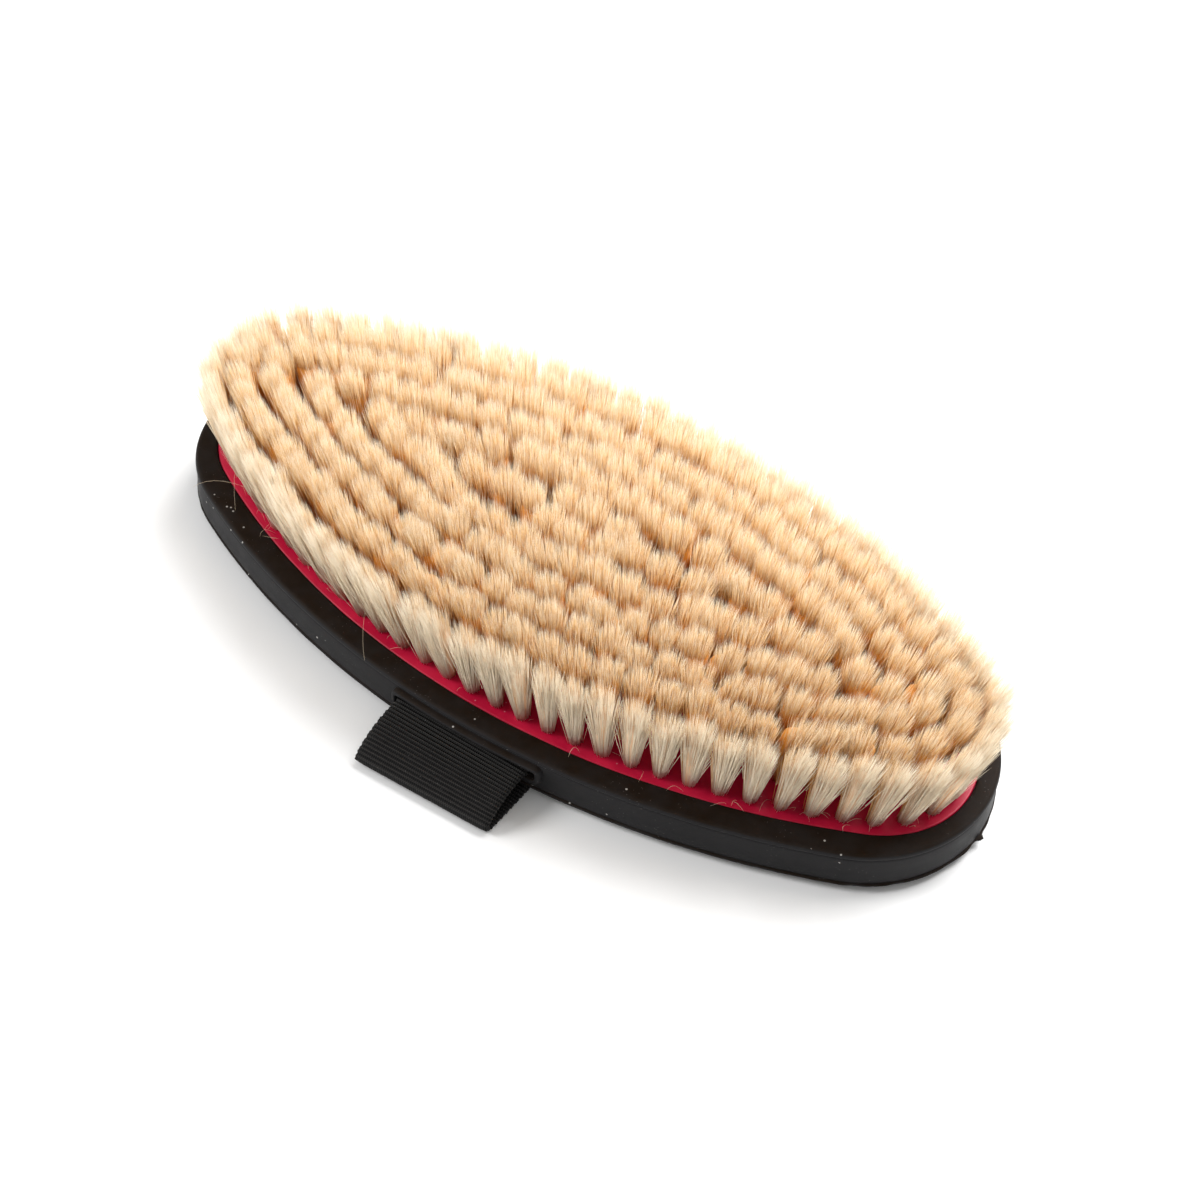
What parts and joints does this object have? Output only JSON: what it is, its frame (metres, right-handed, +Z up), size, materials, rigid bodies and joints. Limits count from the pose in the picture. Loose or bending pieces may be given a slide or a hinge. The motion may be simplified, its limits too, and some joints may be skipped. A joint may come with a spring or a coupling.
{
  "type": "body brush",
  "caption": "Oval horse grooming brush with soft bristle tufts in rings, a plastic tuft plate, a rubber body and a webbing hand strap.",
  "frame": {"origin": "on the surface that the brush lies on, under the middle of its outline", "axes": "+Z up, out of the bristles; X along the brush; Y across it, with the strap running along Y"},
  "size_m": [0.213, 0.1258, 0.038],
  "materials": {
    "black_rubber": "satin moulded rubber",
    "raspberry_plastic": "satin moulded plastic",
    "cream_bristle": "fine soft bristle",
    "black_webbing": "ribbed woven webbing",
    "zinc_steel": "zinc plated"
  },
  "bodies": {
    "brush": {"rubber_body": "black_rubber", "tuft_plate": "raspberry_plastic", "tuft_ring_1": "cream_bristle", "tuft_ring_2": "cream_bristle", "tuft_ring_3": "cream_bristle", "tuft_ring_4": "cream_bristle", "tuft_ring_5": "cream_bristle", "tuft_row_centre": "cream_bristle", "strap_tail_near": "black_webbing", "strap_tail_far": "black_webbing", "strap_fold_near": "black_webbing", "strap_fold_far": "black_webbing", "strap_screw_near_left": "zinc_steel", "strap_screw_near_right": "zinc_steel", "strap_screw_far_left": "zinc_steel", "strap_screw_far_right": "zinc_steel"},
    "hand_strap": {"strap_span": "black_webbing"}
  },
  "joints": [
    {"name": "hand_strap_lift", "type": "slide", "parent": "brush", "child": "hand_strap", "axis": [0, 0, -1], "range_m": [0, 0.036], "deforming": ["strap_fold_near", "strap_fold_far"]}
  ]
}
